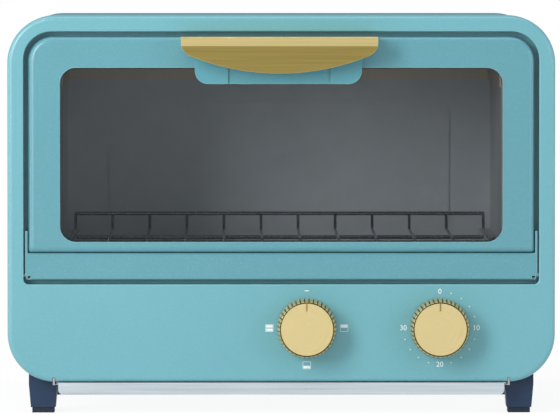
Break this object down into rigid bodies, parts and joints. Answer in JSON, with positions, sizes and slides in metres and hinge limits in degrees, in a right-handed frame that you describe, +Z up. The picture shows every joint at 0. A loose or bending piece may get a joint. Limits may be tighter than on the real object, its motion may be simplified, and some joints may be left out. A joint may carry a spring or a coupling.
{
  "type": "toaster oven",
  "caption": "Small toaster oven: painted steel case, drop-down glass door with cup handle, timer and selector knobs below it, sliding wire rack, crumb tray and feet.",
  "frame": {"origin": "centre of the overall footprint, on the surface the feet stand on", "axes": "+X to the user's right, +Y from the door to the back, +Z up"},
  "size_m": [0.33, 0.237, 0.2403],
  "materials": {
    "body_paint": "satin teal enamel",
    "tab_paint": "satin teal enamel",
    "zinc_steel": "zinc-coated sheet",
    "cavity_steel": "aluminised sheet",
    "reflector_steel": "heat-tinted sheet",
    "quartz": "frosted quartz",
    "heater_wire": "coiled resistance wire",
    "ceramic": "steatite",
    "bell_steel": "polished",
    "shaft_steel": "turned steel",
    "gold_metal": "brushed pale gold",
    "black_plastic": "matt",
    "white_plastic": "matt",
    "wire_sleeve": "glass-fibre sleeve",
    "foot_plastic": "matt navy",
    "pad_rubber": "matt",
    "screw_steel": "zinc plated",
    "door_glass": "grey tinted tempered",
    "gasket_rubber": "silicone",
    "rack_wire": "chromed wire",
    "tray_steel": "light silver sheet"
  },
  "bodies": {
    "case": {"front_frame": "body_paint", "outer_case": "body_paint", "back_panel": "zinc_steel", "base_plate": "zinc_steel", "throat_frame": "cavity_steel", "cavity_left_wall": "cavity_steel", "cavity_right_wall": "cavity_steel", "cavity_back_wall": "cavity_steel", "upper_reflector": "reflector_steel", "cavity_floor": "cavity_steel", "control_heat_shield": "zinc_steel", "rack_rails": "cavity_steel", "upper_heater_front": "quartz", "upper_heater_rear": "quartz", "lower_heater_front": "quartz", "lower_heater_rear": "quartz", "heater_cores": "heater_wire", "heater_end_caps": "ceramic", "heater_brackets": "zinc_steel", "timer_body": "zinc_steel", "timer_bell": "bell_steel", "selector_switch_body": "black_plastic", "control_screws": "screw_steel", "thermostat": "ceramic", "terminal_block": "white_plastic", "wiring_harness": "wire_sleeve", "cord_gland": "black_plastic", "front_left_foot": "foot_plastic", "front_right_foot": "foot_plastic", "rear_left_foot": "foot_plastic", "rear_right_foot": "foot_plastic", "foot_pads": "pad_rubber", "foot_screws": "screw_steel", "case_screws": "screw_steel", "back_panel_screws": "screw_steel", "tray_rails": "zinc_steel", "hinge_brackets": "zinc_steel"},
    "timer_knob_assembly": {"timer_shaft": "shaft_steel", "timer_knob": "gold_metal", "timer_knob_face": "gold_metal"},
    "selector_knob_assembly": {"selector_shaft": "shaft_steel", "selector_knob": "gold_metal", "selector_knob_face": "gold_metal"},
    "door": {"door_skin": "body_paint", "door_glass": "door_glass", "glass_gasket": "gasket_rubber", "door_inner_frame": "cavity_steel", "door_bottom_rail": "body_paint", "door_screws": "screw_steel", "hinge_pins": "shaft_steel", "door_handle": "gold_metal", "handle_tab": "tab_paint", "handle_screws": "screw_steel", "rack_hooks": "rack_wire"},
    "rack": {"wire_rack": "rack_wire", "rack_yokes": "rack_wire"},
    "tray": {"crumb_tray": "tray_steel"}
  },
  "joints": [
    {"name": "door_hinge", "type": "hinge", "parent": "case", "child": "door", "pos_m": [0, -0.0915, 0.0836], "axis": [1, 0, 0], "range_deg": [0, 90]},
    {"name": "rack_slide", "type": "slide", "parent": "case", "child": "rack", "axis": [0, -1, 0], "range_m": [0, 0.0275]},
    {"name": "timer_knob_turn", "type": "hinge", "parent": "case", "child": "timer_knob_assembly", "pos_m": [0.0955, -0.0965, 0.0519], "axis": [0, 1, 0], "range_deg": [0, 270]},
    {"name": "selector_knob_turn", "type": "hinge", "parent": "case", "child": "selector_knob_assembly", "pos_m": [0.0153, -0.0965, 0.0519], "axis": [0, 1, 0], "range_deg": [0, 270]},
    {"name": "crumb_tray_slide", "type": "slide", "parent": "case", "child": "tray", "axis": [0, -1, 0], "range_m": [0, 0.18]}
  ],
  "couplings": [
    {"joint": "rack_slide", "follows": "door_hinge", "m_per_rad": 0.017188}
  ]
}
